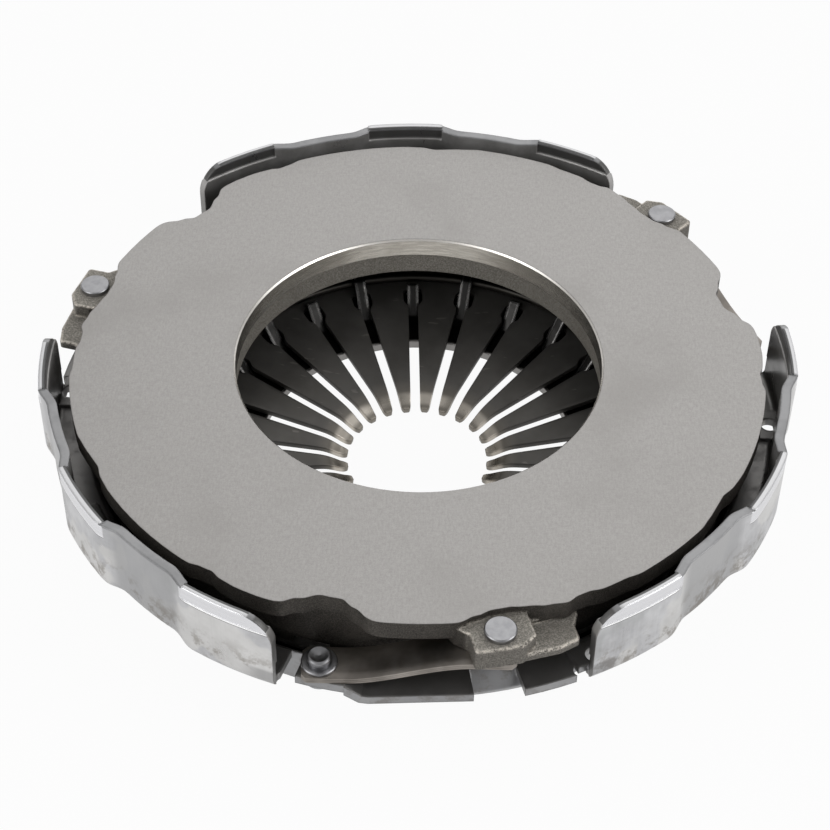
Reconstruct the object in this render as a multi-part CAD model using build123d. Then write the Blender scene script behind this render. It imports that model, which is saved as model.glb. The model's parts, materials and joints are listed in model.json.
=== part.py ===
from build123d import *
import os
from math import sin, cos, radians, atan2, degrees, hypot

# Clutch pressure plate assembly of the 430 mm commercial class. Millimetres.
# z = 0 is the cover rim, the plane that meets the flywheel. +Z points to the flywheel.
os.makedirs("parts", exist_ok=True)

# angles in degrees about the Z axis; everything repeats three times
THIRD = 120.0
SECTORS = (0.0, THIRD, 2 * THIRD)
LUG_A = 45.0            # drive lug and its rivet
STRAP_A = 18.6          # strap rivet on the cover
WALL_A = 95.5           # middle of a cover wall segment
WALL_HALF = 37.5        # half its span
BAY_A = 35.5            # middle of the open bay between two wall segments
BOLT_A = 60.0           # six clearance holes, 60 degrees apart
DOWEL_A = 90.0          # three close locating holes, 120 degrees apart

# radii that follow the outside of the cover; PAD_R drives the whole layout
PAD_R = 236.0           # outside of the wall at a pad
FAR_R = PAD_R + 10.0    # beyond everything, for cuts
RIM_R = PAD_R - 5.2     # outside of the wall in the valleys between pads
BAND_R = PAD_R - 0.7    # turned band at the top of each pad
REGISTER_R = PAD_R - 4.8  # inside of the rim at a pad, the spigot register
BAY_R = PAD_R - 4.0     # edge of the floor in the open bays
BAY_FLAT = PAD_R - 7.0  # straight edge across the middle of a bay
BOLT_PCD = 2 * PAD_R - 24.0
LUG_R = PAD_R - 2.5     # outside of the drive lugs
RIVET_R = PAD_R - 15.0
EDGE_R = PAD_R - 19.0   # widest part of the friction face
BODY_R = PAD_R - 36.0   # body of the casting behind its rim
SPRING_R = BODY_R - 3.0
PIVOT_R = BODY_R - 50.0
SLOT_END = PIVOT_R - 6.5

# cover pressing
SHEET = 6.0
BAND_H = 9.5
REGISTER_H = 8.5
VALLEY_Z = -1.0         # rim between pads
FLOOR_Z = -51.5         # top of the floor
BOLT_PAD_Z = FLOOR_Z + 2.5  # top of the raised bolt pads
SEAT_Z = FLOOR_Z + 6.0  # top of the strap seats
LIP_R = 102.7           # central opening
LIP_GAP = 2.0           # from the spring's underside to the opening's edge
BOLT_R = 5.5
DOWEL_R = 5.1

# pressure plate casting
FACE_Z = -5.0
BORE_R = 114.5
RIM_T = 13.0
BACK_Z = -33.0
LUG_TOP = -10.0
BLOCK_TOP = -19.6
LUG_BOTTOM = -25.0

# diaphragm spring: a shallow cone with fingers
SPRING_T = 3.8
PIVOT_Z = -72.4         # middle of the sheet over the pivot rings
SLOPE = 0.196
FINGERS = range(24)
SLOT_A = 4.5
SLOT_W = 6.5
TIP_R = 46.0
WIRE_R = 3.0
TILT = atan2(SLOPE, 1)
HALF_T = SPRING_T / 2 / cos(TILT)   # half the sheet measured along z

# tangential straps and rivets
STRAP_W = 23.0
LEAF_T = 1.4
LEAVES = (1, 2, 3)
SHANK_R = 5.0
WASHER_T = 2.0


def spring_z(r):
    return PIVOT_Z + SLOPE * (r - PIVOT_R)


LIP_Z = spring_z(LIP_R) - HALF_T - LIP_GAP   # top of the sheet at the opening


def polar(r, a):
    return (r * cos(radians(a)), r * sin(radians(a)))


def prism(points, z0, z1):
    """Upright solid from a list of plan points."""
    return extrude(Plane.XY.offset(z0) * make_face(Polyline(*points, close=True)), z1 - z0)


def turned(points):
    """Ring turned about Z from (radius, z) points."""
    return revolve(Plane.XZ * make_face(Polyline(*points, close=True)), Axis.Z)


def sector(r0, r1, a0, a1, z0, z1, step=3.0):
    """Block between two radii and two angles."""
    n = max(1, int(round((a1 - a0) / step)))
    out = [polar(r1, a0 + (a1 - a0) * i / n) for i in range(n + 1)]
    inn = [polar(r0, a1 - (a1 - a0) * i / n) for i in range(n + 1)]
    return prism(out + inn, z0, z1)


def three(shape):
    return [shape.rotate(Axis.Z, a) for a in SECTORS]


def ease(t):
    t = min(1.0, max(0.0, t))
    return t * t * (3 - 2 * t)


def trace(table, a):
    """Radius at an angle from a table of (angle, radius), eased between rows."""
    for (a0, r0), (a1, r1) in zip(table, table[1:]):
        if a0 <= a <= a1:
            return r0 + (r1 - r0) * ease((a - a0) / (a1 - a0))
    return table[-1][1]


# ---------------------------------------------------------------- cover
WALL_OUT = [(-WALL_HALF, PAD_R), (-24.3, PAD_R), (-19.8, RIM_R), (-9.7, RIM_R), (-5.5, PAD_R),
            (5.5, PAD_R), (9.7, RIM_R), (19.8, RIM_R), (24.3, PAD_R), (WALL_HALF, PAD_R)]
BEND_R = 9.0            # outside radius of the bend between wall and floor


def wall_outline(inset, hub):
    """Face between the corrugated line of the wall and an inner radius."""
    turns = [WALL_A - WALL_HALF + 1.25 * i for i in range(61)]
    line = [polar(trace(WALL_OUT, a - WALL_A) - inset, a) for a in turns]
    inner = [polar(hub, a) for a in turns[::-6]]
    edge = Spline(*line)
    back = Polyline(line[-1], *inner, line[0])
    return make_face(edge + back)


def bend_edges(shape, z, r):
    """The long lower edge of the wall line."""
    return [e for e in shape.edges() if abs(e.center().Z - z) < 0.01
            and hypot(e.center().X, e.center().Y) > r and e.length > 100]


def wall_segment():
    low = FLOOR_Z - SHEET
    block = extrude(Plane.XY.offset(low) * wall_outline(0, BODY_R + 16), -low)
    block = fillet(bend_edges(block, low, BODY_R + 20), BEND_R)
    room = extrude(Plane.XY.offset(FLOOR_Z) * wall_outline(SHEET, BODY_R + 14), 2 - FLOOR_Z)
    room = fillet(bend_edges(room, FLOOR_Z, BODY_R + 16), BEND_R - SHEET)
    wall = block - room
    for a0, a1 in ((-23.4, -6.4), (6.4, 23.4)):
        wall -= sector(BODY_R + 20, FAR_R, WALL_A + a0, WALL_A + a1, VALLEY_Z, 1)
    register = turned([(BODY_R + 20, 1), (BODY_R + 20, -REGISTER_H), (REGISTER_R, -REGISTER_H),
                       (REGISTER_R, -0.6), (REGISTER_R + 0.6, 1)])
    for a0, a1 in ((-39, -23.4), (-6.4, 6.4), (23.4, 39)):
        wall -= register & sector(BODY_R + 15, FAR_R, WALL_A + a0, WALL_A + a1, -REGISTER_H - 1, 2)
    wall -= turned([(BAND_R, -BAND_H), (PAD_R + 0.1, -BAND_H - 0.7), (FAR_R, -BAND_H - 0.7),
                    (FAR_R, 1), (BAND_R - 0.9, 1), (BAND_R - 0.5, 0), (BAND_R, -0.5)])
    return wall


def wall_end_corner(side):
    """Piece cut off the top corner at a wall end, leaving it rounded."""
    r = 20.0
    corner = Rectangle(r + 4, r + 4, align=(Align.MIN, Align.MIN)) - Circle(r)
    flat = Plane(origin=(0, 0, 0), x_dir=(0, side, 0), z_dir=(side, 0, 0)) * corner
    tool = extrude(flat, 40, both=True)
    edge = WALL_HALF - degrees(r / PAD_R)
    tool = tool.translate((PAD_R, 0, -r))
    return tool.rotate(Axis.Z, WALL_A + side * edge)


def dome():
    """Turned middle of the cover, from the opening lip up to the floor."""
    reach = SPRING_T / 2 + WIRE_R
    ring = (PIVOT_R + reach * sin(TILT), PIVOT_Z - reach * cos(TILT))
    rise = atan2(ring[1] - WIRE_R - LIP_Z, ring[0] - LIP_R)
    seat = (ring[0] + WIRE_R * sin(rise), ring[1] - WIRE_R * cos(rise))
    shelf = seat[1] + 1.2
    top = [(LIP_R, LIP_Z), seat, (PIVOT_R + 18, shelf), (BODY_R, shelf),
           (BODY_R + 3.5, shelf + 3.5), (BODY_R + 7, FLOOR_Z - 2.5), (BODY_R + 10, FLOOR_Z),
           (BAY_R, FLOOR_Z)]
    bottom = [(r + (2.2 if BODY_R + 3 < r < BODY_R + 9 else 0), z - SHEET) for r, z in top]
    return turned(top + bottom[::-1])


def bolt_pad(a):
    """Raised flat round a bolt hole, pressed up out of the floor."""
    rise = BOLT_PAD_Z - FLOOR_Z
    up = extrude(Plane.XY.offset(FLOOR_Z - 1) * Rectangle(18, 28), rise + 1, taper=18)
    down = extrude(Plane.XY.offset(FLOOR_Z - SHEET - 0.01) * Rectangle(14, 24), rise, taper=18)
    place = Location((*polar(BOLT_PCD / 2 - 3, a), 0), (0, 0, a))
    return place * up, place * down


def strap_seat():
    """Raised seat under the strap end, its joggle down to the floor, and what they replace."""
    a0, a1, a2 = STRAP_A - 2.9, STRAP_A + 4.2, STRAP_A + 6.8
    seat = sector(BODY_R + 8.5, BAY_R - 1, a0, a1, SEAT_Z - SHEET, SEAT_Z, 1.8)
    ramp = sector(BODY_R + 8.5, BAY_R, a1, a2, FLOOR_Z - SHEET, SEAT_Z, 2.6)
    run = radians(a2 - a1) * RIVET_R
    tilt = Plane(origin=(*polar(RIVET_R, a1), SEAT_Z), x_dir=(cos(radians(a1)), sin(radians(a1)), 0),
                 z_dir=(-sin(radians(a1)) * (SEAT_Z - FLOOR_Z), cos(radians(a1)) * (SEAT_Z - FLOOR_Z), run))
    ramp -= extrude(tilt * Rectangle(60, 60), 30)
    ramp -= extrude(tilt.offset(-SHEET) * Rectangle(60, 60), -30)
    web = sector(BODY_R + 5.5, BODY_R + 10.5, a0, a2, FLOOR_Z - SHEET, SEAT_Z - 1, 1.8)
    wall_end = WALL_A + WALL_HALF - THIRD
    low, high = FLOOR_Z - 2 * SHEET, SEAT_Z + SHEET
    gap = sector(BODY_R + 9.5, FAR_R, wall_end, a0, low, high, 1.8)
    return seat + ramp + web, [sector(BODY_R + 7.5, FAR_R, a0, a2, low, high, 1.8), gap]


def rivet_dip():
    """Pocket under the lug rivet tail: the tab is cut away and the sheet runs down."""
    a0, a1 = LUG_A - 3.9, LUG_A + 3.4
    low, high = FLOOR_Z - 2 * SHEET, SEAT_Z + SHEET
    gap = sector(BODY_R + 7.5, FAR_R, a0, a1, low, high, 1.9)
    line = [(3.5, -20.5), (5.5, -8.5), (7, -3), (10, -1), (21, -10), (19.5, -14), (10, -9.5)]
    slope = turned([(BODY_R + r, FLOOR_Z + z) for r, z in line])
    slope &= sector(BODY_R - 10, FAR_R, a0 - 0.6, a1 + 0.6, FLOOR_Z - 40, high, 1.9)
    return gap, slope


def tongue(a, hooked):
    """Tongue pressed out of the dome through a spring slot; every second one hooks the ring."""
    line = [(-23.5, -13.6), (-18.5, -7.1), (-15, -2.2), (-12, 1.9), (-9.4, 5.8)]
    if hooked:
        line += [(-6.4, 8.9), (-2.5, 9.9), (3.0, 9.9)]
    line = [(PIVOT_R + r, PIVOT_Z + z) for r, z in line]
    t, left, right = 2.0, [], []
    for i, (r, z) in enumerate(line):
        (r0, z0), (r1, z1) = line[max(0, i - 1)], line[min(len(line) - 1, i + 1)]
        n = hypot(r1 - r0, z1 - z0)
        dr, dz = (r1 - r0) / n, (z1 - z0) / n
        left.append((r - dz * t, z + dr * t))
        right.append((r + dz * t, z - dr * t))
    if hooked:
        right[-1] = (PIVOT_R + 3.0, right[-1][1])
    shape = extrude(Plane.XZ * make_face(Polyline(*left, *right[::-1], close=True)), 4.0, both=True)
    return shape.rotate(Axis.Z, a)


def make_cover():
    low = FLOOR_Z - SHEET
    turns = (WALL_A - WALL_HALF, WALL_A + WALL_HALF)
    under_wall = sector(BODY_R + 18, FAR_R, *turns, low - 1, FLOOR_Z + 1)
    body = dome() - three(under_wall) + three(wall_segment())
    chord = Box(FAR_R - BODY_R, BAY_R, -FLOOR_Z, align=(Align.MIN, Align.CENTER, Align.CENTER))
    chord = chord.translate((BAY_FLAT, 0, FLOOR_Z)).rotate(Axis.Z, BAY_A)
    seat, seat_cuts = strap_seat()
    gap, slope = rivet_dip()
    # relief holes where a wall ends and its bend stops
    cuts = [wall_end_corner(-1), wall_end_corner(1), chord, gap, *seat_cuts]
    cuts += [Cylinder(4.5, 40).translate((*polar(BAY_R - 2.5, WALL_A + side * (WALL_HALF + 0.9)), low))
             for side in (-1, 1)]
    body -= [c.rotate(Axis.Z, s) for c in cuts for s in SECTORS]
    pads = [bolt_pad(BOLT_A + 30.0 * i + s) for i in range(3) for s in SECTORS]
    body += three(seat) + three(slope) + [up for up, down in pads]
    body += [tongue(SLOT_A + 15.0 * i, i % 2 == 1) for i in FINGERS]
    holes = [(BOLT_R, BOLT_PCD / 2, BOLT_A * i) for i in range(6)]
    holes += [(DOWEL_R, BOLT_PCD / 2, DOWEL_A + s) for s in SECTORS]
    holes += [(SHANK_R, RIVET_R, STRAP_A + s) for s in SECTORS]
    body -= [Cylinder(r, 60).translate((*polar(at, a), FLOOR_Z)) for r, at, a in holes] + \
            [down for up, down in pads]
    return body


# ------------------------------------------------------ pressure plate
# outline of the friction face over one third: angle from the lug, depth inside EDGE_R
FACE_EDGE = [(-75, 4.0), (-72.4, 2.0), (-69, 1.2), (-49.5, 1.2), (-46.8, 3.6), (-45, 4.2),
             (-43.2, 2.2), (-40, 1.2), (-36, 1.2), (-33.6, 2.0), (-30.3, 9.2), (-27.6, 14.6),
             (-24.2, 14.8), (-21.4, 9.0), (-19, 2.6), (-17.2, 1.7), (-6.2, 1.7), (-3.2, 5.6),
             (-0.5, 8.4), (2.0, 8.4), (5.0, 6.4), (8.0, 3.7), (11.0, 1.8), (13.0, 3.8),
             (14.6, 3.9), (17.2, 2.0), (21, 1.8), (23.6, 0.2), (37, 0.2), (40, 1.6), (42.6, 3.0),
             (45, 4.0)]


def face_outline():
    """Closed smooth line of the cast rim, one spline to each third."""
    edges = []
    for s in SECTORS:
        turns = [-75.0 + 1.25 * i for i in range(97)]
        pts = [polar(EDGE_R - trace(FACE_EDGE, a), LUG_A + s + a) for a in turns]
        ends = [polar(1, LUG_A + s + a + 90) for a in (turns[0], turns[-1])]
        edges.append(Spline(*pts, tangents=ends))
    return make_face(edges)


def cast_block(points, z0, z1, corner, top):
    """Upright block with rounded corners outside the rim and a rounded top edge."""
    body = prism([polar(r, LUG_A + a) for r, a in points], z0, z1)
    upright = [e for e in body.edges().filter_by(Axis.Z)
               if hypot(e.center().X, e.center().Y) > BODY_R + 12]
    body = fillet(upright, corner)
    return fillet(body.edges().group_by(Axis.Z)[-1], top)


def lug():
    """Drive lug: high boss round the rivet, lower block beside it, neck up to the rim."""
    boss = cast_block([(BODY_R, -9), (BODY_R + 14, -6.6), (BODY_R + 20, -4.5), (LUG_R, -4.1),
                       (LUG_R, 2.6), (LUG_R - 6, 4.9), (BODY_R, 4.9)],
                      LUG_BOTTOM, LUG_TOP, 2.4, 1.3)
    block = cast_block([(BODY_R, 0), (LUG_R - 0.4, 0), (LUG_R - 0.4, 8), (LUG_R - 2.5, 11.2),
                        (BODY_R + 21, 11.6), (BODY_R + 14, 13), (BODY_R, 14)],
                       LUG_BOTTOM, BLOCK_TOP, 2.4, 1.6)
    neck = sector(BODY_R - 10, BODY_R + 12.5, LUG_A - 6.6, LUG_A + 12.6, LUG_BOTTOM,
                  FACE_Z - RIM_T + 1, 3.2)
    return boss + block + neck


def make_plate():
    nose = spring_z(BODY_R - 3.5) + HALF_T
    disc = extrude(Plane.XY.offset(FACE_Z - RIM_T) * face_outline(), RIM_T)
    back = turned([(BORE_R + 1.0, FACE_Z - RIM_T + 1), (BORE_R + 1.0, BACK_Z), (BODY_R - 35, BACK_Z),
                   (BODY_R - 16, BACK_Z - 9), (BODY_R - 8.5, nose), (BODY_R - 3.5, nose),
                   (BODY_R, nose + 13), (BODY_R, FACE_Z - 12)])
    body = disc + [back, *three(lug())]
    body -= turned([(0, 10), (BORE_R + 1.2, 10), (BORE_R + 1.2, FACE_Z), (BORE_R, FACE_Z - 1.2),
                    (BORE_R, FACE_Z - RIM_T), (BORE_R + 1.0, FACE_Z - RIM_T - 0.8),
                    (BORE_R + 1.0, nose), (0, nose)])
    vent = Box(30, 24, 16).translate((BODY_R - 5, 0, nose + 2))
    hole = Cylinder(SHANK_R, 60).translate((*polar(RIVET_R, LUG_A), LUG_BOTTOM))
    return body - ([vent.rotate(Axis.Z, 15.0 + 30.0 * i) for i in range(12)] + three(hole))


# ------------------------------------------------------ diaphragm spring
def make_spring():
    bend = [(0, -7.5), (3, -6.9), (6, -5.7), (10, -3.3), (14, -1.3), (18, 0)]
    mid = [(TIP_R + r, spring_z(TIP_R + 18) + z) for r, z in bend]
    mid.append((SPRING_R, spring_z(SPRING_R)))
    up, down = [], []
    for i, (r, z) in enumerate(mid):
        (r0, z0), (r1, z1) = mid[max(0, i - 1)], mid[min(len(mid) - 1, i + 1)]
        n = hypot(r1 - r0, z1 - z0)
        dr, dz = (r1 - r0) / n * SPRING_T / 2, (z1 - z0) / n * SPRING_T / 2
        up.append((r - dz, z + dr))
        down.append((r + dz, z - dr))
    body = turned(up + down[::-1])
    h = SLOT_W / 2
    slot = [(TIP_R - 16, -h - 2.5), (TIP_R - 0.4, -h - 1.9), (TIP_R + 1.6, -h - 0.6),
            (TIP_R + 4.4, -h), (PIVOT_R - 23, -h), (PIVOT_R - 19, -6.2), (PIVOT_R - 11, -6.6),
            (SLOT_END - 1.2, -4.6), (SLOT_END, -2)]
    slot += [(x, -y) for x, y in reversed(slot)]
    cutter = prism(slot, PIVOT_Z - 40, PIVOT_Z + 40)
    return body - [cutter.rotate(Axis.Z, SLOT_A + 15.0 * i) for i in FINGERS]


def make_ring(side):
    d = side * (SPRING_T / 2 + WIRE_R)
    r, z = PIVOT_R - d * sin(TILT), PIVOT_Z + d * cos(TILT)
    return revolve(Plane.XZ * (Location((r, z, 0)) * Circle(WIRE_R)), Axis.Z)


# ------------------------------------------------------ straps and rivets
def strap_leaf(level):
    """One leaf, bowed from the cover seat up to the underside of the lug."""
    half = RIVET_R * sin(radians((LUG_A - STRAP_A) / 2))
    z0, z1 = SEAT_Z + level * LEAF_T, LUG_BOTTOM - (len(LEAVES) - level) * LEAF_T
    flat = 13.0
    n, low = 10, []
    for i in range(n + 1):
        x = -half + flat + (2 * half - 2 * flat) * i / n
        low.append((x, z0 + (z1 - z0) * ease(i / n)))
    low = [(-half - 10.0, z0)] + low + [(half + 10.0, z1)]
    outline = low + [(x, z + LEAF_T) for x, z in reversed(low)]
    leaf = extrude(Plane.XZ * make_face(Polyline(*outline, close=True)), STRAP_W / 2, both=True)
    for side in (-1, 1):
        leaf -= Cylinder(SHANK_R, 100).translate((side * half, 0, -35))
        for edge in (-1, 1):
            knife = Box(12, 12, 100).rotate(Axis.Z, 45)
            leaf -= knife.translate((side * (half + 12.8), edge * (STRAP_W / 2 + 2.8), -35))
    mid = (LUG_A + STRAP_A) / 2
    reach = RIVET_R * cos(radians((LUG_A - STRAP_A) / 2))
    return Location((*polar(reach, mid), 0), (0, 0, mid + 90)) * leaf


def make_lug_rivet():
    low = LUG_BOTTOM - len(LEAVES) * LEAF_T
    return turned([(0, LUG_TOP + 3.2), (8.6, LUG_TOP + 3.2), (9.25, LUG_TOP + 2.6), (9.25, LUG_TOP),
                   (SHANK_R, LUG_TOP), (SHANK_R, low), (8.2, low), (8.2, low - 3.0),
                   (6.4, low - 4.6), (0, low - 4.6)])


def make_washer():
    z = SEAT_Z + len(LEAVES) * LEAF_T
    return turned([(SHANK_R, z), (10.5, z), (10.5, z + WASHER_T - 0.6), (9.9, z + WASHER_T),
                   (SHANK_R, z + WASHER_T)])


def make_cover_rivet():
    z = SEAT_Z + len(LEAVES) * LEAF_T + WASHER_T
    low = SEAT_Z - SHEET
    return turned([(0, z + 4.4), (3.2, z + 4.8), (5.6, z + 5.4), (6.4, z + 5.2), (7.0, z + 4.4),
                   (7.0, z + 1.8), (6.4, z + 1.3), (6.4, z), (SHANK_R, z), (SHANK_R, low),
                   (9.0, low), (9.0, low - 2.6), (7.0, low - 4.4), (0, low - 4.4)])


def put(shape, r, a):
    return shape.translate((*polar(r, a), 0))


def save(name, shape):
    shape.label = name
    export_step(shape, f"parts/{name}.step")


save("cover", make_cover())
save("pressure_plate", make_plate())
save("diaphragm_spring", make_spring())
save("pivot_ring_upper", make_ring(1))
save("pivot_ring_lower", make_ring(-1))
for name, turn in zip("abc", SECTORS):
    for level in LEAVES:
        save(f"strap_{name}_leaf_{level}", strap_leaf(level - 1).rotate(Axis.Z, turn))
    save(f"lug_rivet_{name}", put(make_lug_rivet(), RIVET_R, LUG_A + turn))
    save(f"cover_rivet_{name}", put(make_cover_rivet(), RIVET_R, STRAP_A + turn))
    save(f"strap_washer_{name}", put(make_washer(), RIVET_R, STRAP_A + turn))
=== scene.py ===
# %% [markdown]
# # A clutch cover assembly, dressed on its CAD frame
# The imported model is loaded first and stays as it is: it fixes every size and how the bodies move.
# Rigid castings, pressings and rivets keep their CAD shape and get a real finish. The diaphragm
# spring and the leaf straps bend when the clutch works, so they are modelled again here as
# separate pieces.

# %% Load the frame
import json
from math import cos, degrees, pi, radians, sin
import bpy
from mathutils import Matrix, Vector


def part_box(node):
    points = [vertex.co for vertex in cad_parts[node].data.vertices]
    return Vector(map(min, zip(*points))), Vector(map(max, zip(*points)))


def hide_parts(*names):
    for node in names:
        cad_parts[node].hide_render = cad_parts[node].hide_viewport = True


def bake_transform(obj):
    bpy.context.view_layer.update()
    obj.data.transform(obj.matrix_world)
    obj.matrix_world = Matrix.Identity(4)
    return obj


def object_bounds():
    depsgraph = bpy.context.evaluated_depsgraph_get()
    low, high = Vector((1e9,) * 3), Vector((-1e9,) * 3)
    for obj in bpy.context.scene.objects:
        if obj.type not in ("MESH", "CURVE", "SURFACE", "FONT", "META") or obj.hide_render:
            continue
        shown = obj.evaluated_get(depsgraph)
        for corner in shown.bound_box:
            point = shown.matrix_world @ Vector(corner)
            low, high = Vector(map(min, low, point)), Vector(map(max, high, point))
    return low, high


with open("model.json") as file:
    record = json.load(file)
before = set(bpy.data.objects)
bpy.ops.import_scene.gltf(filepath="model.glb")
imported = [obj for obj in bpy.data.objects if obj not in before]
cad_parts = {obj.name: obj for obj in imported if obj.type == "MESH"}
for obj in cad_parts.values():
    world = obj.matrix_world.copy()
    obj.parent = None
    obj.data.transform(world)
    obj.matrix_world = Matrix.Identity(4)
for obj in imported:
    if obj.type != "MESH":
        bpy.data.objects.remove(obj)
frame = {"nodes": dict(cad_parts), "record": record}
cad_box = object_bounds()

from types import SimpleNamespace

import bmesh
import bpy
from mathutils import Matrix, Vector

MM = 0.001
SECTORS = (("a", 0.0), ("b", 120.0), ("c", 240.0))
nodes = frame["nodes"]

# %% [markdown]
# ## Sizes
# The pieces made here have to meet the CAD ones, so the sizes of the spring and the straps are
# given again, in millimetres and degrees. Heights count from the flywheel's face, which is z = 0
# at the top of the cover's pads, and the whole clutch lies below it.

# %% Sizes of the bending pieces
SPRING_T = 3.8          # sheet thickness
SPRING_R = 197.0        # outside of the cone
PIVOT_R = 150.0         # circle of the pivot rings
SLOPE = 0.196           # rise of the cone per millimetre of radius
PIVOT_Z = -72.4         # height of its middle surface on that circle
FINGERS = 24
FIRST_SLOT = 4.5        # degrees
SLOT_W = 6.5
SLOT_END = 143.5
WINDOW_R = 127.0        # the slots widen from here for the cover's tongues
WINDOW_W = 13.2
TIP_R = 46.0
SPRING_ROUND = 0.7      # rounding of its edges

STRAP_A = 18.6          # rivet on the cover
LUG_A = 45.0            # rivet on the lug
RIVET_R = 221.0
STRAP_W = 23.0
LEAF_T = 1.4
LEAF_ROUND = 0.3
LEAVES = 3
SEAT_Z = -45.5          # top of the seat under the lowest leaf
LUG_Z = -25.0           # underside of the lug over the highest leaf


def cone_z(r):
    """Height of the spring's middle surface."""
    return PIVOT_Z + SLOPE * (r - PIVOT_R)


print("outside of the spring at z = %.1f mm" % cone_z(SPRING_R))

# %% [markdown]
# ## Shader maths as arithmetic
# A finish is a node tree. Wrapping a socket in a small class lets masks and colours be written as
# sums and products, and one method adds every other kind of node.

# %% A socket that does arithmetic, and a tree that grows by calls
class Val:
    """One socket of a tree. Arithmetic on it adds Math nodes."""

    def __init__(self, tree, socket):
        self.tree = tree
        self.socket = socket

    def __add__(self, other):
        return self.tree.maths("ADD", self, other)

    def __sub__(self, other):
        return self.tree.maths("SUBTRACT", self, other)

    def __rsub__(self, other):
        return self.tree.maths("SUBTRACT", other, self)

    def __mul__(self, other):
        return self.tree.maths("MULTIPLY", self, other)

    def __pow__(self, other):
        return self.tree.maths("POWER", self, other)

    __radd__ = __add__
    __rmul__ = __mul__

    def most(self, other):
        return self.tree.maths("MAXIMUM", self, other)

    def least(self, other):
        return self.tree.maths("MINIMUM", self, other)

    def rising(self, low, high):
        """0 below low, 1 above high, eased between them."""
        return self.tree.add("ShaderNodeMapRange", {"interpolation_type": "SMOOTHSTEP"},
                             {"Value": self, "From Min": low, "From Max": high})

    def inside(self, low, high, soft):
        """1 from low to high, and 0 from soft outside them."""
        return self.rising(low - soft, low) * (1 - self.rising(high, high + soft))

    def past(self, low, high):
        """As rising, for a length with both ends in millimetres."""
        return self.rising(low * MM, high * MM)

    def within(self, low, high, soft):
        """As inside, for a length with its ends in millimetres."""
        return self.inside(low * MM, high * MM, soft * MM)


class Tree:
    """A node tree of a material or of the world."""

    def __init__(self, nodes, links):
        self.nodes = nodes
        self.links = links

    def feed(self, node, sockets):
        for key, value in sockets.items():
            if isinstance(value, Val):
                self.links.new(value.socket, node.inputs[key])
            else:
                node.inputs[key].default_value = value

    def add(self, kind, settings=None, sockets=None, output=0):
        """Adds a node: its settings first, then its sockets. Returns one of its outputs."""
        node = self.nodes.new(kind)
        for key, value in (settings or {}).items():
            setattr(node, key, value)
        self.feed(node, sockets or {})
        return Val(self, node.outputs[output])

    def maths(self, operation, first, second=0.0):
        return self.add("ShaderNodeMath", {"operation": operation}, {0: first, 1: second})

    def axes(self, vector):
        """The three numbers of a vector."""
        node = self.add("ShaderNodeSeparateXYZ", None, {0: vector}).socket.node
        return [Val(self, socket) for socket in node.outputs]

    def dot(self, first, second):
        return self.add("ShaderNodeVectorMath", {"operation": "DOT_PRODUCT"},
                        {0: first, 1: second}, output="Value")

    def rays(self):
        """Whether the camera looks straight at this point, and whether a reflection does."""
        seen = self.add("ShaderNodeLightPath", output="Is Camera Ray")
        return seen, Val(self, seen.socket.node.outputs["Is Glossy Ray"])


class Finish(Tree):
    """A material and the nodes that feed its shader."""

    def __init__(self, name, **sockets):
        self.material = bpy.data.materials.new(name)
        self.material.use_nodes = True
        tree = self.material.node_tree
        super().__init__(tree.nodes, tree.links)
        self.shader = tree.nodes["Principled BSDF"]
        self.place = self.add("ShaderNodeTexCoord", output="Object")
        self.feed(self.shader, {key.replace("_", " "): value for key, value in sockets.items()})

    def noise(self, scale, detail=2.0, roughness=0.5, stretch=(1, 1, 1), turn=0.0):
        """Noise over the piece, scale in lumps per metre."""
        where = self.add("ShaderNodeMapping", None,
                         {"Vector": self.place, "Scale": stretch, "Rotation": (0, 0, turn)})
        return self.add("ShaderNodeTexNoise", None, {"Vector": where, "Scale": scale,
                                                     "Detail": detail, "Roughness": roughness})

    def colours(self, factor, first, second):
        """Goes from the first colour to the second."""
        first, second = [c if isinstance(c, Val) else (*c, 1.0) for c in (first, second)]
        return self.add("ShaderNodeMix", {"data_type": "RGBA"}, {0: factor, 6: first, 7: second},
                        output=2)

    def reach(self):
        """Distance from the clutch's axis."""
        x, y = self.axes(self.place)[:2]
        return (x * x + y * y) ** 0.5

    def facing(self):
        """The three numbers of the surface's direction."""
        return self.axes(self.add("ShaderNodeNewGeometry", output="Normal"))

    def soft_edges(self, radius):
        """The surface's direction as if its edges were rounded by radius."""
        return self.add("ShaderNodeBevel", {"samples": 6}, {"Radius": radius})

    def bump(self, height, depth, normal=None):
        """Raises the surface by depth, in metres, where height is 1."""
        sockets = {"Height": height, "Distance": depth, "Strength": 1.0}
        if normal:
            sockets["Normal"] = normal
        return self.add("ShaderNodeBump", None, sockets)


# %% [markdown]
# ## Where the finishes change
# One casting or one pressing has several skins, and each starts at a known height or radius. A
# picture wrapped round the piece could hold them, but it would blur up close and would have to be
# painted. Masks worked out from the Object coordinates stay sharp and follow these sizes.

# %% Sizes that the finishes follow
FACE_Z = -5.0           # ground face of the casting
STEP_Z = -18.0          # lower end of the turned bore
BORE_R = 114.5
LUG_ROOT_R = 210.0
EDGE_R = 217.0          # widest part of the face
CHAMFER = 1.2

PAD_R = 236.0           # outside of the cover's pads
VALLEY_R = 230.8        # outside of the wall between two pads
VALLEY_Z = -1.0         # its rim
BAND_Z = -10.7          # lower end of the bright band on the pads
REGISTER_R = 231.2      # recess inside the pads
REGISTER_Z = -8.5       # its lower end
FOOT_Z = -40.0          # the foot of the wall lies below
OUTSIDE_R = 190.0       # the wall's skin starts here outside
INSIDE_R = 205.0        # and here inside
BAY_A = 35.5            # degrees, middle of an open bay
TONGUES_R = (118.0, 150.0)
LIP_R = 102.7           # central opening
LINE_SOFT = 0.15        # how far the side of a fine line fades

print("pads stand %.1f mm proud of the valleys" % (PAD_R - VALLEY_R))

# %% Where finished materials are kept
finishes = {}


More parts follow.
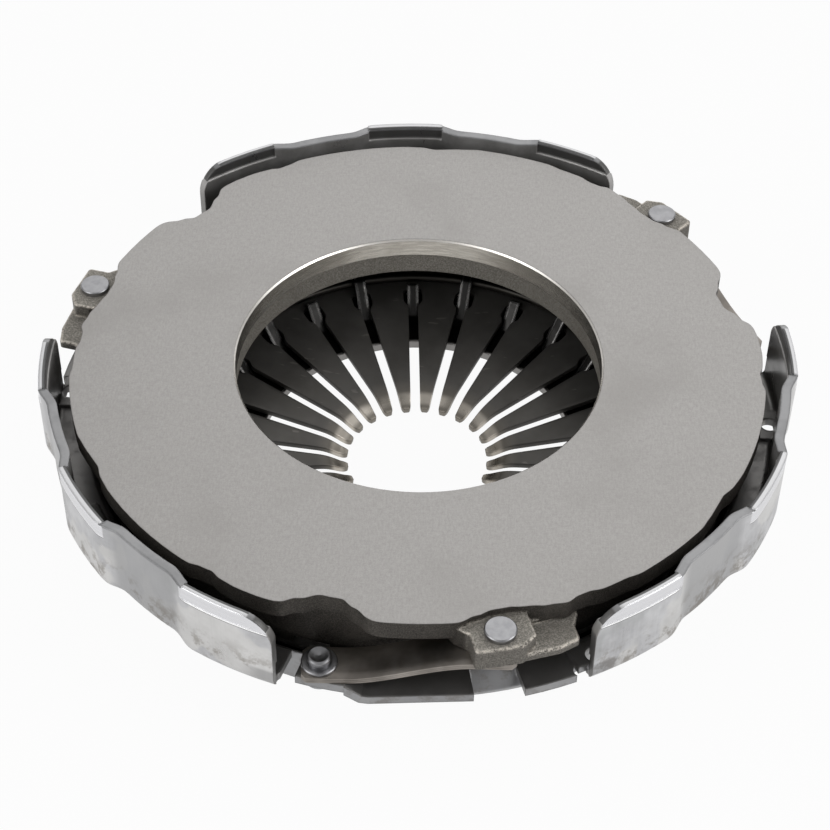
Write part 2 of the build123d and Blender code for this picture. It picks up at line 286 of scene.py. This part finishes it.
def keep_finish(slot, material):
    """Files a finish under a material slot of the record."""
    finishes[slot] = material
    print(material.name, "has", len(material.node_tree.nodes), "nodes")


# %% [markdown]
# ## Ground face, turned bore, rough casting
# The pressure plate is one grey-iron casting with three skins. Its face is ground flat and reads as
# a warm mid grey with very fine scratches. The upper bore is turned bright, and its chamfer at the
# face is painted near white, partly fresh metal and partly a painted highlight. All the rest is as
# cast: a sandy dark brown skin, with a lighter copy painted as light on lug tops that face up, in
# the bore's rough band and partly on the flanks, and rubbed bright along the corners of the lugs.
# To find those corners, the Bevel node asks how the surface would face if its edges were rounded:
# between the flat of a lug and its side, that direction is neither up nor level.

# %% Zones of the casting
def casting_zones(f):
    r, z = f.reach(), f.axes(f.place)[2]
    face = z.past(FACE_Z - 0.2, FACE_Z - 0.06)
    bore = z.past(STEP_Z - 0.6, STEP_Z - 0.2) * (1 - r.past(BORE_R + 1.4, BORE_R + 1.7))
    bore = bore * (1 - face)
    lugs = r.past(LUG_ROOT_R - 3, LUG_ROOT_R + 3) * (1 - face)
    corners = f.axes(f.soft_edges(3.2 * MM))[2].inside(0.30, 0.92, 0.07)
    return SimpleNamespace(
        face=face, bore=bore, lugs=lugs,
        hollow=(1 - r.past(BORE_R + 1.5, BORE_R + 5.5)) * (1 - face) * (1 - bore),
        flanks=r.past(EDGE_R + 0.5, EDGE_R + 2.5),
        corners=corners * lugs * (1 - z.past(FACE_Z - 3, FACE_Z - 2)),
        chamfer=z.past(FACE_Z - CHAMFER - 0.1, FACE_Z - CHAMFER + 0.05),
        # Faces that point up, on which the lighter copy of the sand is painted as light.
        top=f.facing()[2].rising(0.7, 0.95),
        grain=f.noise(1250, 3.0, 0.6), coarse=f.noise(420, 2.0), patch=f.noise(34, 3.0, 0.6))


# %% Skin from the mould
def cast_skin(f, at):
    """Colour of the rough casting, and how much of it is worn bright."""
    sand = at.grain.rising(0.35, 0.7)
    dark = f.colours(sand, (0.036, 0.032, 0.028), (0.105, 0.095, 0.083))
    painted_lit_sand = f.colours(sand, (0.20, 0.188, 0.166), (0.46, 0.432, 0.385))
    # A lighter copy of the sand is painted as light on lug tops that face up, in the bore's rough
    # band and partly on the flanks.
    skin = f.colours((at.top * at.lugs).most(at.hollow).most(at.flanks * 0.45), dark, painted_lit_sand)
    skin = f.colours(at.patch.rising(0.5, 0.8) * 0.35, skin, (0.17, 0.155, 0.135))
    rubbing = (at.coarse * 0.45 + at.grain * 0.35 + at.patch * 0.2).rising(0.40, 0.56)
    worn = at.corners * rubbing
    return f.colours(worn * 0.9, skin, (0.68, 0.63, 0.56)), worn


# %% Ground face and turned bore
def ground_skin(f, at):
    """Colour of the ground face, and its weave of scratches."""
    across = f.noise(800, 3.0, 0.6, (1, 0.3, 1))
    along = f.noise(800, 3.0, 0.6, (0.3, 1, 1))
    weave = across * 0.35 + along * 0.2 + f.noise(2100, 2.0) * 0.45
    skin = f.colours(weave.rising(0.3, 0.7), (0.34, 0.328, 0.316), (0.45, 0.437, 0.425))
    cloud = f.noise(11, 4.0, 0.55)
    skin = f.colours(cloud.rising(0.45, 0.75) * 0.6, skin, (0.33, 0.318, 0.305))
    stain = f.noise(95, 3.0, 0.6).rising(0.72, 0.80) * at.patch.rising(0.5, 0.6)
    return f.colours(stain * 0.45, skin, (0.21, 0.20, 0.185)), weave


def turned_skin(f, at):
    """Rings of the turning tool, with the chamfer at the face painted near white: fresh metal, and
    partly a painted highlight.
    """
    rings = f.noise(900, 2.0, 0.5, (0.1, 0.1, 1))
    skin = f.colours(rings.rising(0.3, 0.7), (0.50, 0.47, 0.42), (0.63, 0.60, 0.54))
    skin = f.colours(at.patch.rising(0.5, 0.75) * 0.4, skin, (0.34, 0.31, 0.27))
    # The chamfer's near-white colour is partly a painted highlight.
    return f.colours(at.chamfer, skin, (0.88, 0.85, 0.80))


# %% Finish of the casting
def casting_finish():
    f = Finish("casting")
    at = casting_zones(f)
    cast, worn = cast_skin(f, at)
    ground, weave = ground_skin(f, at)
    colour = f.colours(at.face, f.colours(at.bore, cast, turned_skin(f, at)), ground)
    rough = 0.62 - at.face * 0.16 - at.bore * 0.36 - worn * 0.2 - at.hollow * 0.12
    sand = (at.grain * 0.65 + at.coarse * 0.35) * (1 - at.face) * (1 - at.bore)
    soft = f.soft_edges((1 - at.bore * 0.5) * 0.8 * MM)
    f.feed(f.shader, {"Base Color": colour, "Roughness": rough,
                      "Metallic": 0.5 + at.face * 0.42 + at.bore * 0.45 + worn * 0.3,
                      "Normal": f.bump(sand + weave * at.face * 0.02, 0.5 * MM, soft)})
    return f.material


keep_finish("cast_iron", casting_finish())

# %% [markdown]
# ## Pressed sheet
# The cover is drawn from thick sheet. Outside it is a light silver grey, wavy and smudged with oil,
# darker in the valleys, and stained at the foot where the die rubbed it; in the open bays the foot
# is also painted darker as shade. Inside, painted shade darkens it lower down, at the foot and in
# the recess, and the dome within the walls is painted near black as shade. The tongues are painted
# dark as shade, with painted highlight streaks. The pads are turned at the top: that leaves a bright
# band, which ends in a fine line painted dark as a shadow, a painted highlight above it and a recess
# on the inside. Their tops are painted bright at the outer edge as a highlight. Which side a point
# is on follows from the direction that its surface faces, so one material serves the whole pressing.

# %% Zones of the cover
def cover_zones(f):
    r = f.reach()
    x, y, z = f.axes(f.place)
    nx, ny, nz = f.facing()
    outward = (x * nx + y * ny) * (r + 0.001) ** -1
    outer_wall = outward.rising(0.2, 0.5) * r.past(OUTSIDE_R, OUTSIDE_R + 6)
    pads = r.past(PAD_R - 1.7, PAD_R - 1.2) * outer_wall
    thirds = f.maths("ARCTAN2", y, x) * 3 - 3 * radians(BAY_A)
    return SimpleNamespace(
        outer_wall=outer_wall,
        below=(0 - nz).rising(0.3, 0.6), level=nz.rising(0.7, 0.9),
        rim=z.past(VALLEY_Z - 1.4, VALLEY_Z - 0.6),
        turned_top=z.past(VALLEY_Z + 0.2, VALLEY_Z + 0.5),
        # The outer part of the pads' turned tops, painted bright as a highlight.
        painted_top_highlight=r.past(REGISTER_R + 1.4, REGISTER_R + 1.9),
        band=z.past(BAND_Z, BAND_Z + 0.25) * pads,
        # A thin line just above the band's lower end, painted near white as a highlight.
        step=z.within(BAND_Z + 0.3, BAND_Z + 0.7, LINE_SOFT) * pads,
        # A fine line at the band's lower end, painted dark as a shadow.
        painted_shadow_line=z.within(BAND_Z - 0.25, BAND_Z + 0.05, LINE_SOFT) * pads,
        valley=(1 - r.past(VALLEY_R - 0.3, VALLEY_R + 3.7)) * outer_wall,
        register=(r.past(REGISTER_R - 0.6, REGISTER_R - 0.3)
                  * z.past(REGISTER_Z - 0.3, REGISTER_Z - 0.1)),
        walls=r.past(INSIDE_R - 3, INSIDE_R + 3),
        foot=1 - z.past(FOOT_Z - 3, FOOT_Z), low=1 - z.past(FOOT_Z - 6, FOOT_Z + 20),
        # Where painted shade darkens the inside, lower down.
        painted_deep_shade=(1 - z.past(FOOT_Z + 16, BAND_Z + 3.7)) * (1 - outer_wall),
        bays=f.maths("COSINE", thirds).rising(0.1, 0.3),
        tongues=r.within(*TONGUES_R, 2), lip=1 - r.past(LIP_R + 1.6, LIP_R + 2.1),
        smudge=f.noise(38, 4.0, 0.62), drawn=f.noise(620, 2.0, 0.5, (1, 1, 0.05)))


# %% Skins of the cover
def outer_skin(f, at):
    """Colour outside, with painted shade at the foot in the bays and a painted shadow line, and how
    soiled it is.
    """
    skin = f.colours(at.smudge.rising(0.3, 0.7), (0.43, 0.43, 0.44), (0.63, 0.63, 0.64))
    skin = f.colours(at.drawn.rising(0.45, 0.8) * 0.25, skin, (0.70, 0.70, 0.71))
    oil = f.noise(24, 3.0, 0.45, (1, 1, 0.7))
    side = 1 - at.below
    skin = f.colours(oil.rising(0.50, 0.54) * side * 0.40, skin, (0.76, 0.745, 0.71))
    skin = f.colours((1 - oil.rising(0.38, 0.43)) * side * 0.4, skin, (0.34, 0.35, 0.345))
    skin = f.colours(at.valley * 0.75, skin, (0.34, 0.34, 0.345))
    soil = f.noise(70, 5.0, 0.7).rising(0.48, 0.62) * at.low * (1 - at.below * 0.8)
    skin = f.colours(soil * 0.65, skin, (0.22, 0.195, 0.165))
    # Painted shade: the foot is darker in the open bays.
    skin = f.colours(at.foot * at.bays * side * 0.5, skin, (0.20, 0.20, 0.205))
    skin = f.colours(at.below * 0.6, skin, (0.50, 0.50, 0.51))
    # The fine dark line at the band's lower end is a painted shadow.
    return f.colours(at.painted_shadow_line * 0.8, skin, (0.10, 0.10, 0.10)), soil


def inner_skin(f, at, soft):
    """Colour inside, with painted shade low down, at the foot, in the recess and on the dome.
    The tongues are painted dark as shade, with painted highlight streaks at their long edges.
    """
    skin = f.colours(at.smudge.rising(0.3, 0.7), (0.36, 0.35, 0.34), (0.56, 0.55, 0.54))
    # Painted shade: the inside darkens lower down.
    skin = f.colours(at.painted_deep_shade * 0.7, skin, (0.13, 0.127, 0.122))
    # Painted shade at the foot inside, a little less on faces that point up.
    skin = f.colours(at.foot * (1 - at.level * 0.35) * 0.9, skin, (0.15, 0.145, 0.14))
    # The dome inside the walls is painted near black as shade.
    skin = f.colours(at.walls, (0.040, 0.038, 0.036), skin)
    # Painted shade in the recess inside the pads.
    skin = f.colours(at.register * 0.9, skin, (0.11, 0.108, 0.105))
    x, y = f.axes(f.place)[:2]
    soft_x, soft_y = f.axes(soft)[:2]
    sideways = (x * soft_y - y * soft_x) * (f.reach() + 0.001) ** -1
    # Painted highlight streaks where the tongues' rounded long edges face sideways.
    painted_streak = (sideways * sideways).inside(0.05, 0.16, 0.03) * at.tongues
    # The tongues are painted near black as shade, with the streaks painted over it.
    tongue_shade_and_streak = f.colours(painted_streak, (0.035, 0.034, 0.033), (0.50, 0.49, 0.48))
    skin = f.colours(at.tongues, skin, tongue_shade_and_streak)
    return f.colours(at.lip, skin, (0.30, 0.29, 0.28))


def trim_top(f, at, colour):
    """Lays the sheared rim of the valleys and the turned pads over a colour, with painted highlights
    on the pads.
    """
    sheared = f.colours(at.smudge.rising(0.4, 0.6), (0.27, 0.27, 0.275), (0.34, 0.34, 0.345))
    colour = f.colours(at.rim, colour, sheared)
    # The turned tops of the pads are painted bright at their outer edge as a highlight.
    edge = f.colours(at.painted_top_highlight, (0.12, 0.12, 0.12), (0.70, 0.70, 0.71))
    colour = f.colours(at.turned_top, colour, edge)
    lines = f.noise(700, 1.0, 0.5, (0.02, 0.02, 1))
    colour = f.colours(at.band, colour, f.colours(lines, (0.68, 0.68, 0.70), (0.78, 0.78, 0.80)))
    # A painted highlight along the step above the band's lower end.
    return f.colours(at.step, colour, (0.95, 0.95, 0.95))


# %% Finish of the pressed cover
def cover_finish():
    f = Finish("pressed sheet")
    at = cover_zones(f)
    soft = f.soft_edges(at.tongues * 1.6 * MM + 2 * MM)
    outside, soil = outer_skin(f, at)
    colour = f.colours(at.outer_wall.most(at.below), inner_skin(f, at, soft), outside)
    waves = f.noise(30, 1.0, 0.5, (1, 1, 0.6))
    fine = f.noise(1700, 2.0)
    relief = waves * 0.8 + at.smudge * 0.12 + fine * 0.02 + at.drawn * 0.02
    dull = (1 - at.outer_wall) * at.walls * (0.45 - at.foot * 0.1)
    f.feed(f.shader, {"Base Color": trim_top(f, at, colour),
                      "Roughness": 0.20 + at.smudge * 0.22 - at.band * 0.06 + soil * 0.15,
                      "Metallic": 1 - dull, "Normal": f.bump(relief, 1.0 * MM, soft)})
    return f.material


keep_finish("pressed_cover", cover_finish())

# %% [markdown]
# ## Spring, straps, rivets and rings
# Hardened spring steel is nearly black and satin, with small scratches, and polished at the bend
# of the fingers, where the release bearing presses; that bright ring is partly a painted highlight.
# The straps are thinner strip, a little browner. The rivets are plain grey steel, and the rings
# drawn wire painted near black, a painted shade.

# %% Finish of the spring
def spring_finish():
    f = Finish("spring steel")
    cloud = f.noise(30, 3.0, 0.6)
    fine = f.noise(1100, 3.0, 0.6)
    scratch = f.noise(260, 2.0, 0.5, (0.25, 1, 1), 0.6).rising(0.68, 0.73)
    r = f.reach()
    tips = 1 - r.past(TIP_R + 4, TIP_R + 22)
    # The bend where the bearing presses; its bright ring is wear and partly a painted highlight.
    pressed = r.within(TIP_R + 5, TIP_R + 8.5, 3.5)
    colour = f.colours(cloud.rising(0.3, 0.7), (0.086, 0.082, 0.076), (0.122, 0.117, 0.110))
    colour = f.colours(tips, colour, (0.25, 0.23, 0.20))
    # Bearing wear at the bend, and partly a painted highlight of it.
    colour = f.colours(pressed * cloud.rising(0.3, 0.62), colour, (0.60, 0.555, 0.49))
    colour = f.colours(scratch * 0.3, colour, (0.30, 0.28, 0.26))
    f.feed(f.shader, {"Base Color": colour, "Roughness": 0.34 + cloud * 0.14 - tips * 0.14,
                      "Metallic": 0.55 + tips * 0.45,
                      "Normal": f.bump(fine, 0.03 * MM)})
    return f.material


keep_finish("spring_steel", spring_finish())


# %% Finishes of the straps, rivets and rings
def strap_finish():
    f = Finish("strap steel", Metallic=1.0)
    cloud = f.noise(45, 3.0, 0.6)
    rolled = f.noise(700, 2.0, 0.5, (0.1, 1, 1))
    colour = f.colours(cloud.rising(0.3, 0.7), (0.22, 0.20, 0.18), (0.36, 0.33, 0.30))
    f.feed(f.shader, {"Base Color": colour, "Roughness": 0.30 + cloud * 0.2,
                      "Normal": f.bump(rolled, 0.02 * MM)})
    return f.material


def rivet_finish():
    f = Finish("rivet steel", Metallic=1.0)
    cloud = f.noise(160, 3.0, 0.6)
    colour = f.colours(cloud.rising(0.3, 0.7), (0.28, 0.28, 0.29), (0.36, 0.36, 0.37))
    f.feed(f.shader, {"Base Color": colour, "Roughness": 0.26 + cloud * 0.12,
                      "Normal": f.bump(cloud, 0.05 * MM, f.soft_edges(0.35 * MM))})
    return f.material


def ring_finish():
    f = Finish("ring wire", Metallic=1.0)
    cloud = f.noise(90, 3.0)
    # The wire is painted near black: painted shade, as the rings lie under the plate.
    colour = f.colours(cloud, (0.035, 0.033, 0.03), (0.07, 0.066, 0.06))
    f.feed(f.shader, {"Base Color": colour, "Roughness": 0.34 + cloud * 0.1})
    return f.material


keep_finish("strap_steel", strap_finish())
keep_finish("rivet_steel", rivet_finish())
keep_finish("ring_wire", ring_finish())

# %% [markdown]
# ## Dress the CAD pieces
# The record names a material slot for every sub-part. Every CAD node gets the finish of its slot,
# also the ones that are replaced further on, so that none is left bare.

# %% Finishes on the CAD pieces
def give_finish(piece, slot):
    """Puts the finish of a record's material slot on a piece."""
    piece.data.materials.clear()
    piece.data.materials.append(finishes[slot])


for part in frame["record"]["subparts"]:
    give_finish(nodes[part["node"]], part["material_slot"])

# %% [markdown]
# ## From a bmesh to a piece
# Every new piece ends in the same way: sizes go from millimetres to metres, edges turned by more
# than a set angle stay sharp, and the rest shades smooth. Its object stays at the origin, as a CAD
# node's does, so the finishes find their heights and radii on it too.

# %% Turn a bmesh into a piece
JOIN = 0.005            # points closer than this become one


def piece_from(bm, name, slot, sharp=35.0):
    bmesh.ops.scale(bm, vec=(MM, MM, MM), verts=bm.verts)
    bmesh.ops.recalc_face_normals(bm, faces=bm.faces)
    for face in bm.faces:
        face.smooth = True
    mesh = bpy.data.meshes.new(name)
    bm.to_mesh(mesh)
    bm.free()
    mesh.set_sharp_from_angle(angle=radians(sharp))
    piece = bpy.data.objects.new(name, mesh)
    bpy.context.scene.collection.objects.link(piece)
    give_finish(piece, slot)
    return piece


def bevel_corners(bm, width, segments=2, angle=40.0):
    """Rounds every edge that turns by more than angle."""
    edges = [e for e in bm.edges if len(e.link_faces) == 2 and e.calc_face_angle() > radians(angle)]
    bmesh.ops.bevel(bm, geom=edges, offset=width, offset_type="OFFSET", segments=segments,
                    profile=0.5, affect="EDGES", clamp_overlap=True, material=-1)


# %% Curves by numbers
def ease(t):
    """A smooth step from 0 to 1."""
    t = min(1.0, max(0.0, t))
    return t * t * (3 - 2 * t)


def between(points, x):
    """Reads a line through points at x."""
    for (x0, y0), (x1, y1) in zip(points, points[1:]):
        if x <= x1:
            return y0 + (y1 - y0) * (x - x0) / (x1 - x0)
    return points[-1][1]


# %% [markdown]
# ## The diaphragm spring's fingers
# The spring is one sheet, but it turns about the pivot circle: inside it the fingers move with the
# release bearing, outside it the rim moves with the plate. So it is made as two pieces that meet
# on that circle.
# One finger is a grid, bent to the spring's section. The columns at its sides span the slot and
# are deleted where the slot is open. The sheet is then copied round and merged, so that no seam
# stays inside it, moved down by half its thickness, thickened upwards and bevelled.

# %% Section and slot of the spring
NOSE_R = 50.0           # the slot widens from here to the fingers' tips
NOSE_L = 4.8            # length of the tip's rounded corners
NOSE_W = 4.6            # how much wider they make the slot at most
WINDOW_L = 7.0          # length of the step from the slot to its window
END_L = 4.5             # length of the window's rounded end
END_W = 9.0             # how much it narrows the window at its very end
BEND = ((0, -7.5), (3, -6.9), (6, -5.7), (10, -3.3), (14, -1.3), (18, 0))
STRAIGHT_R = TIP_R + BEND[-1][0]
FINGER_LINE = [(TIP_R + r, cone_z(STRAIGHT_R) + z) for r, z in BEND] + [(PIVOT_R, PIVOT_Z)]


def finger_z(r):
    """Height of the middle of the sheet, with its corners softened."""
    near = [between(FINGER_LINE, max(TIP_R, min(PIVOT_R, r + d))) for d in (-1.2, 0, 1.2)]
    return sum(near) / 3


def slot_width(r):
    """Width of the slot between two fingers at radius r."""
    if r < NOSE_R:
        t = min(1.0, (NOSE_R - r) / NOSE_L)
        return SLOT_W + NOSE_W * (1 - (1 - t * t) ** 0.5)
    if r < WINDOW_R:
        return SLOT_W
    window = SLOT_W + (WINDOW_W - SLOT_W) * ease((r - WINDOW_R) / WINDOW_L)
    t = max(0.0, (r - SLOT_END + END_L) / END_L)
    return window - END_W * (1 - (1 - min(1.0, t * t)) ** 0.5)


for spot in (TIP_R, WINDOW_R, SLOT_END):
    print("at r = %.1f the slot is %.1f mm wide" % (spot, slot_width(spot)))


# %% One finger
def spaced(start, stop, steps):
    return [start + (stop - start) * i / steps for i in range(steps)]


PAST_BEND = STRAIGHT_R + 2
END_FROM = SLOT_END - END_L
RADII = (spaced(TIP_R, NOSE_R, 7) + spaced(NOSE_R, PAST_BEND, 9) + spaced(PAST_BEND, WINDOW_R, 12)
         + spaced(WINDOW_R, END_FROM, 8) + spaced(END_FROM, SLOT_END, 6)
         + spaced(SLOT_END, PIVOT_R, 2) + [PIVOT_R])
ACROSS = 8              # faces over a finger's width, and one more over half a slot on each side
HALF_PITCH = 180 / FINGERS


def finger_point(i, j):
    """Where the grid's point goes: i counts outwards, j across the finger."""
    r = RADII[i]
    turn = (HALF_PITCH - degrees(slot_width(r) / 2 / r)) * ((j - 1) / ACROSS * 2 - 1)
    if j in (0, ACROSS + 2):
        turn = HALF_PITCH if j else -HALF_PITCH
    a = radians(FIRST_SLOT + HALF_PITCH + turn)
    return r * cos(a), r * sin(a), finger_z(r)


def one_finger():
    """A bent grid, open where the slots are."""
    rows, columns = len(RADII) - 1, ACROSS + 2
    bm = bmesh.new()
    bmesh.ops.create_grid(bm, x_segments=rows, y_segments=columns, size=1)
    grid = {}
    for v in bm.verts:
        grid[v] = (round((v.co.x + 1) / 2 * rows), round((v.co.y + 1) / 2 * columns))
        v.co = finger_point(*grid[v])
    slot_faces = [face for face in bm.faces
                  if min(grid[v][1] for v in face.verts) in (0, columns - 1)
                  and max(RADII[grid[v][0]] for v in face.verts) <= SLOT_END + 0.01]
    bmesh.ops.delete(bm, geom=slot_faces, context="FACES")
    return bm


print("a finger has", len(RADII), "rows of points")


# %% All fingers
def make_fingers():
    bm = one_finger()
    bmesh.ops.spin(bm, geom=bm.verts[:] + bm.edges[:] + bm.faces[:], cent=(0, 0, 0), axis=(0, 0, 1),
                   angle=2 * pi * (FINGERS - 1) / FINGERS, steps=FINGERS - 1, use_duplicate=True)
    bmesh.ops.remove_doubles(bm, verts=bm.verts, dist=JOIN)
    bmesh.ops.recalc_face_normals(bm, faces=bm.faces)
    if sum(face.normal.z for face in bm.faces) > 0:
        bmesh.ops.reverse_faces(bm, faces=bm.faces)
    bmesh.ops.translate(bm, verts=bm.verts, vec=(0, 0, -SPRING_T / 2))
    bmesh.ops.solidify(bm, geom=bm.faces[:], thickness=SPRING_T)
    bmesh.ops.recalc_face_normals(bm, faces=bm.faces)
    bevel_corners(bm, SPRING_ROUND)
    return piece_from(bm, "spring_fingers", "spring_steel")


fingers = make_fingers()
low, high = [[round(c / MM, 1) for c in corner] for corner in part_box("diaphragm_spring")]
print("CAD spring from", low, "to", high)
zs = [v.co.z / MM for v in fingers.data.vertices]
print("fingers from z %.1f to %.1f, %d faces" % (min(zs), max(zs), len(fingers.data.polygons)))

# %% [markdown]
# The rim outside the pivot circle has no slots, so it is a section spun once round.

# %% Rim of the spring
def make_spring_rim():
    bm = bmesh.new()
    tilt = Vector((1, SLOPE)).normalized()
    up = Vector((-tilt.y, tilt.x)) * SPRING_T / 2
    ends = [Vector((r, cone_z(r))) for r in (PIVOT_R, SPRING_R)]
    steps = 6
    lower = [ends[0].lerp(ends[1], i / steps) - up for i in range(steps + 1)]
    upper = [ends[0].lerp(ends[1], i / steps) + up for i in range(steps + 1)]
    loop = [bm.verts.new((p.x, 0, p.y)) for p in lower + upper[::-1]]
    edges = [bm.edges.new((a, b)) for a, b in zip(loop, loop[1:] + loop[:1])]
    bmesh.ops.spin(bm, geom=loop + edges, cent=(0, 0, 0), axis=(0, 0, 1), angle=2 * pi, steps=144,
                   use_merge=True)
    bmesh.ops.remove_doubles(bm, verts=bm.verts, dist=JOIN)
    bmesh.ops.recalc_face_normals(bm, faces=bm.faces)
    bevel_corners(bm, SPRING_ROUND)
    return piece_from(bm, "spring_rim", "spring_steel")


rim = make_spring_rim()
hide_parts("diaphragm_spring")
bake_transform(fingers)
cone_z(SPRING_R) * MM
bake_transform(rim)
print("rim:", len(rim.data.polygons), "faces")

# %% [markdown]
# ## Leaf straps
# Three thin leaves lie on each other between the cover and each lug. At the ends they are clamped
# flat by the rivets, and between them they rise in an S. A leaf is a grid bent to that line.

# %% Flat of a leaf, bent and thickened
HALF_SPAN = RIVET_R * sin(radians((LUG_A - STRAP_A) / 2))      # half the way between its rivets
SPAN_REACH = RIVET_R * cos(radians((LUG_A - STRAP_A) / 2))     # from the axis to its middle
CLAMPED = 13.0          # flat on both sides of a rivet
PAST_RIVET = 10.0       # from a rivet to the end
CHAMFER_W = 2.9         # cut off each corner of the end


def bent_leaf(level):
    """A leaf that lies along x, with its middle at the origin."""
    z0 = SEAT_Z + level * LEAF_T
    z1 = LUG_Z - (LEAVES - level) * LEAF_T
    end = HALF_SPAN + PAST_RIVET
    bm = bmesh.new()
    bmesh.ops.create_grid(bm, x_segments=44, y_segments=4, size=1)
    for v in bm.verts:
        x = v.co.x * end
        side = STRAP_W / 2 - max(0.0, CHAMFER_W - (end - abs(x)))
        rise = ease((x + HALF_SPAN - CLAMPED) / (2 * HALF_SPAN - 2 * CLAMPED))
        v.co = (x, v.co.y * side, z0 + (z1 - z0) * rise)
    bmesh.ops.recalc_face_normals(bm, faces=bm.faces)
    if sum(face.normal.z for face in bm.faces) < 0:
        bmesh.ops.reverse_faces(bm, faces=bm.faces)
    bmesh.ops.solidify(bm, geom=bm.faces[:], thickness=-LEAF_T)
    bmesh.ops.recalc_face_normals(bm, faces=bm.faces)
    bevel_corners(bm, LEAF_ROUND)
    return bm


print("rivets of a strap are %.1f mm apart" % (2 * HALF_SPAN))


# %% Leaves in place
def make_leaf(letter, turn, level):
    bm = bent_leaf(level)
    middle = (LUG_A + STRAP_A) / 2 + turn
    place = Matrix.Rotation(radians(middle), 4, "Z") @ Matrix.Translation((SPAN_REACH, 0, 0))
    bmesh.ops.transform(bm, verts=bm.verts, matrix=place @ Matrix.Rotation(pi / 2, 4, "Z"))
    leaf = piece_from(bm, f"leaf_{letter}_{level + 1}", "strap_steel")
    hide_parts(f"strap_{letter}_leaf_{level + 1}")
    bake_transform(leaf)
    return leaf


leaves = [make_leaf(letter, turn, level) for letter, turn in SECTORS for level in range(LEAVES)]
print("leaves:", len(leaves))

# %% [markdown]
# ## Studio
# The clutch lies on a white floor, in soft light from all sides. What its reflections see is a
# grey room with four soft panels, so that bright metal shows its bends. The white background is
# the colour of floor and world as the camera sees them, so the two lamps can stay modest. In
# reflections the floor glows less near the clutch, a painted shadow.

# %% Floor
FLOOR_LEVEL = cad_box[0][2] - 0.2 * MM
FLOOR_HALF = 30           # metres
# Where the painted shadow on the floor fades out.
OPEN_FROM, OPEN_TO = 0.22, 0.36       # metres from the axis, past the clutch's shadow


def make_floor():
    bm = bmesh.new()
    bmesh.ops.create_grid(bm, x_segments=1, y_segments=1, size=FLOOR_HALF)
    bmesh.ops.translate(bm, verts=bm.verts, vec=(0, 0, FLOOR_LEVEL))
    mesh = bpy.data.meshes.new("floor")
    bm.to_mesh(mesh)
    bm.free()
    floor = bpy.data.objects.new("floor", mesh)
    bpy.context.scene.collection.objects.link(floor)
    f = Finish("floor paper", Base_Color=(0.8, 0.8, 0.8, 1), Roughness=0.9)
    glow = f.add("ShaderNodeEmission", None, {"Strength": 1.0})
    seen, mirrored = f.rays()
    # In reflections the floor glows less near the clutch: a painted shadow.
    past_painted_shadow = f.reach().rising(OPEN_FROM, OPEN_TO)
    glowing = seen * 0.95 + mirrored * (past_painted_shadow * 0.3 + 0.65)
    shown = f.add("ShaderNodeMixShader", None,
                  {0: glowing, 1: Val(f, f.shader.outputs[0]), 2: glow})
    f.feed(f.nodes["Material Output"], {"Surface": shown})
    mesh.materials.append(f.material)


make_floor()
print("floor at z = %.1f mm" % (FLOOR_LEVEL / MM))

# %% World and lamps
PANELS = (((0.12, 0.84, 0.53), 46, 8, 0.80),      # towards, outer and inner half angle, strength
          ((0.0, 0.60, 0.80), 16, 10, 0.45),
          ((0.81, -0.20, 0.55), 34, 24, 0.75),
          ((-0.67, -0.46, 0.58), 30, 20, 0.75))


def light_world():
    world = bpy.data.worlds.new("studio")
    bpy.context.scene.world = world
    world.use_nodes = True
    t = Tree(world.node_tree.nodes, world.node_tree.links)
    way = t.add("ShaderNodeTexCoord", output="Generated")
    seen, mirrored = t.rays()
    room = 0.78 - t.axes(way)[2].rising(0.0, 0.35) * 0.38
    for towards, outer, inner, strength in PANELS:
        spread = t.dot(way, Vector(towards).normalized())
        room = spread.rising(cos(radians(outer)), cos(radians(inner))) * strength + room
    level = 0.55 + seen * 0.45 + mirrored * (room.least(1.6) - 0.55)
    t.feed(t.nodes["Background"], {"Color": (1, 1, 1, 1), "Strength": level})


def add_lamp(name, watts, size, place, aim=(0, 0, -0.03)):
    data = bpy.data.lights.new(name, "AREA")
    data.energy = watts
    data.shape = "DISK"
    data.size = size
    lamp = bpy.data.objects.new(name, data)
    lamp.location = place
    lamp.rotation_euler = (Vector(aim) - Vector(place)).to_track_quat("-Z", "Y").to_euler()
    bpy.context.scene.collection.objects.link(lamp)


light_world()
add_lamp("right_lamp", 6, 1.0, (1.5, -0.4, 1.1))
add_lamp("left_lamp", 4, 0.9, (-1.3, -0.9, 1.15))
bpy.context.scene.view_settings.view_transform = "Standard"
print(len(PANELS), "panels and", len(bpy.data.lights), "lamps")

# %% [markdown]
# ## Camera
# It stands in front of the clutch and looks down on its ground face at about 45 degrees, with a
# long lens, so that near and far pads look almost the same size.

# %% Camera
CAMERA_TURN = 2.6         # degrees about Z
CAMERA_RISE = 44.6054     # degrees above the horizon
CAMERA_ROLL = 0.913
CAMERA_AWAY = 1294.366    # mm from the ground face
CAMERA_SHIFT = (-1.7503, -36.0397)    # mm, to the right and up in its own picture
FOCAL = 89.815
SENSOR = 36


def add_camera():
    data = bpy.data.cameras.new("camera")
    data.lens = FOCAL
    data.sensor_width = SENSOR
    data.clip_end = 100
    camera = bpy.data.objects.new("camera", data)
    rise = radians(CAMERA_RISE)
    spot = Vector((CAMERA_SHIFT[0], CAMERA_SHIFT[1] * sin(rise) - CAMERA_AWAY * cos(rise),
                   CAMERA_SHIFT[1] * cos(rise) + CAMERA_AWAY * sin(rise) + FACE_Z))
    turn = Matrix.Rotation(radians(CAMERA_TURN), 4, "Z")
    aim = Matrix.Rotation(pi / 2 - rise, 4, "X") @ Matrix.Rotation(radians(CAMERA_ROLL), 4, "Z")
    camera.matrix_world = turn @ Matrix.Translation(spot * MM) @ aim
    bpy.context.scene.collection.objects.link(camera)
    bpy.context.scene.camera = camera


add_camera()
print("camera at", [round(c, 3) for c in bpy.context.scene.camera.matrix_world.translation])
